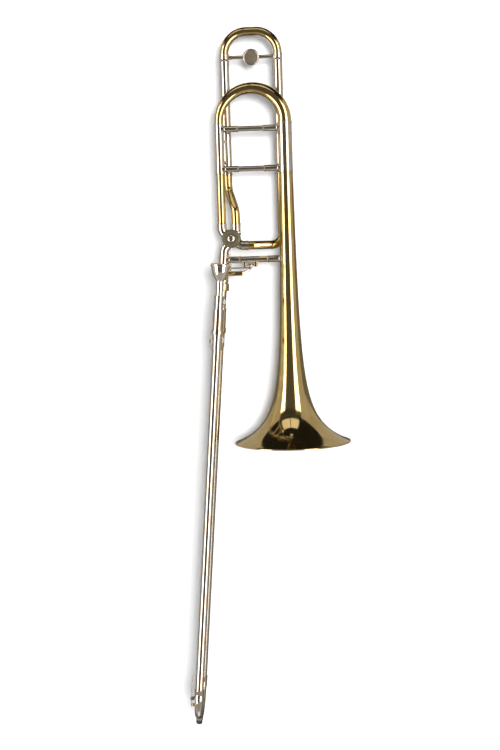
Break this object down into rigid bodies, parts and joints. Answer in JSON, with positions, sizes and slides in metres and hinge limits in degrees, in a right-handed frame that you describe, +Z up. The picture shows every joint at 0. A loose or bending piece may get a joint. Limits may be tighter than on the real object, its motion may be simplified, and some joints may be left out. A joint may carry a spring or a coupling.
{
  "type": "tenor trombone with F attachment",
  "caption": "Slide trombone with a wide bell, tuning slides, a rotary valve with thumb lever and linkage, a mouthpiece and a water key.",
  "frame": {"origin": "middle of the brace between the two inner slide tubes, where the left hand grips the instrument", "axes": "+Z up along the bell's axis with the bell opening down, -Y towards the mouthpiece side, +X from the slide towards the bell"},
  "size_m": [0.3083, 0.2158, 1.2892],
  "materials": {
    "lacquered_brass": "clear gold lacquer, polished",
    "nickel_silver": "nickel silver, polished",
    "bare_brass": "turned, unlacquered",
    "silver_plate": "silver plated, mirror polished",
    "etched_nickel": "matt, textured",
    "steel": "bright",
    "black_rubber": "matt",
    "cork": "matt cork"
  },
  "bodies": {
    "inner_slide": {"upper_inner_tube": "nickel_silver", "lower_inner_tube": "nickel_silver", "mouthpiece_receiver": "nickel_silver", "leadpipe": "bare_brass", "upper_cork_barrel": "nickel_silver", "lower_cork_barrel": "nickel_silver", "slide_tenon": "nickel_silver", "hand_brace": "nickel_silver"},
    "lock_nut": {"lock_nut": "lacquered_brass"},
    "slide_lock": {"slide_lock_ring": "lacquered_brass"},
    "mouthpiece": {"mouthpiece": "silver_plate"},
    "outer_slide": {"upper_outer_tube": "nickel_silver", "lower_outer_tube": "nickel_silver", "slide_grip": "nickel_silver", "front_bow_ferrule": "nickel_silver", "rear_bow_ferrule": "nickel_silver", "end_bow": "nickel_silver", "rubber_bumper": "black_rubber", "water_key_pin": "steel"},
    "water_key": {"water_key_lever": "nickel_silver", "water_key_cork": "cork"},
    "bell_section": {"neck_receiver": "nickel_silver", "neckpipe": "nickel_silver", "neck_knuckle": "nickel_silver", "main_knuckle": "nickel_silver", "f_feed_knuckle": "nickel_silver", "f_return_knuckle": "nickel_silver", "valve_casing": "nickel_silver", "front_bearing_plate": "bare_brass", "rear_bearing_plate": "bare_brass", "valve_cap": "etched_nickel", "oil_cap": "silver_plate", "stop_plate": "nickel_silver", "upper_stop_bumper": "cork", "lower_stop_bumper": "cork", "main_leg_tube": "lacquered_brass", "tuning_receivers": "nickel_silver", "bell": "lacquered_brass", "bell_rim_wire": "lacquered_brass", "left_f_receiver": "nickel_silver", "right_f_receiver": "nickel_silver", "f_feed_tube": "lacquered_brass", "f_return_tube": "lacquered_brass", "bell_brace": "nickel_silver", "left_lever_post": "lacquered_brass", "right_lever_post": "lacquered_brass", "lever_screw": "steel"},
    "main_tuning_slide": {"tuning_legs": "nickel_silver", "main_crook": "lacquered_brass"},
    "f_tuning_slide": {"f_slide_legs": "nickel_silver", "f_crook": "lacquered_brass", "medallion": "nickel_silver"},
    "rotor": {"rotor": "bare_brass", "stop_arm": "nickel_silver"},
    "thumb_lever": {"thumb_lever": "silver_plate", "thumb_paddle": "lacquered_brass", "lever_spring": "steel"},
    "link_rod": {"link_rod": "nickel_silver"}
  },
  "joints": [
    {"name": "bell_swivel", "type": "hinge", "parent": "inner_slide", "child": "bell_section", "pos_m": [0.00221, 0.04, 0.02691], "axis": [0.0819, 0, 0.9966], "range_deg": [-30, 30]},
    {"name": "lock_nut_turn", "type": "hinge", "parent": "inner_slide", "child": "lock_nut", "pos_m": [0.00221, 0.04, 0.02691], "axis": [0.0819, 0, 0.9966], "continuous": true},
    {"name": "slide_lock_turn", "type": "hinge", "parent": "inner_slide", "child": "slide_lock", "pos_m": [0.00221, -0.04, 0.02691], "axis": [0.0819, 0, 0.9966], "range_deg": [0, 40]},
    {"name": "mouthpiece_pull", "type": "slide", "parent": "inner_slide", "child": "mouthpiece", "axis": [0.0819, 0, 0.9966], "range_m": [0, 0.05]},
    {"name": "hand_slide", "type": "slide", "parent": "inner_slide", "child": "outer_slide", "axis": [-0.0819, 0, -0.9966], "range_m": [0, 0.6]},
    {"name": "water_key_turn", "type": "hinge", "parent": "outer_slide", "child": "water_key", "pos_m": [-0.07313, -0.04, -0.72474], "axis": [0, 1, 0], "range_deg": [0, 8], "stiffness_Nm_per_rad": 0.05, "springref_deg": -45.84},
    {"name": "main_tuning_pull", "type": "slide", "parent": "bell_section", "child": "main_tuning_slide", "axis": [0, 0, 1], "range_m": [0, 0.055]},
    {"name": "f_tuning_pull", "type": "slide", "parent": "bell_section", "child": "f_tuning_slide", "axis": [0, 0, 1], "range_m": [0, 0.1]},
    {"name": "thumb_lever_turn", "type": "hinge", "parent": "bell_section", "child": "thumb_lever", "pos_m": [0.05221, 0.04, 0.06671], "axis": [1, 0, 0], "range_deg": [0, 24.75], "stiffness_Nm_per_rad": 0.06, "springref_deg": -40.11},
    {"name": "rotor_turn", "type": "hinge", "parent": "bell_section", "child": "rotor", "pos_m": [0.02231, 0.04, 0.11481], "axis": [0, 1, 0], "range_deg": [0, 90]},
    {"name": "link_rise", "type": "slide", "parent": "bell_section", "child": "link_rod", "axis": [0, 0, 1], "range_m": [0, 0.012]}
  ],
  "couplings": [
    {"joint": "rotor_turn", "follows": "thumb_lever_turn", "ratio": 3.6364},
    {"joint": "link_rise", "follows": "thumb_lever_turn", "m_per_rad": 0.02778}
  ]
}
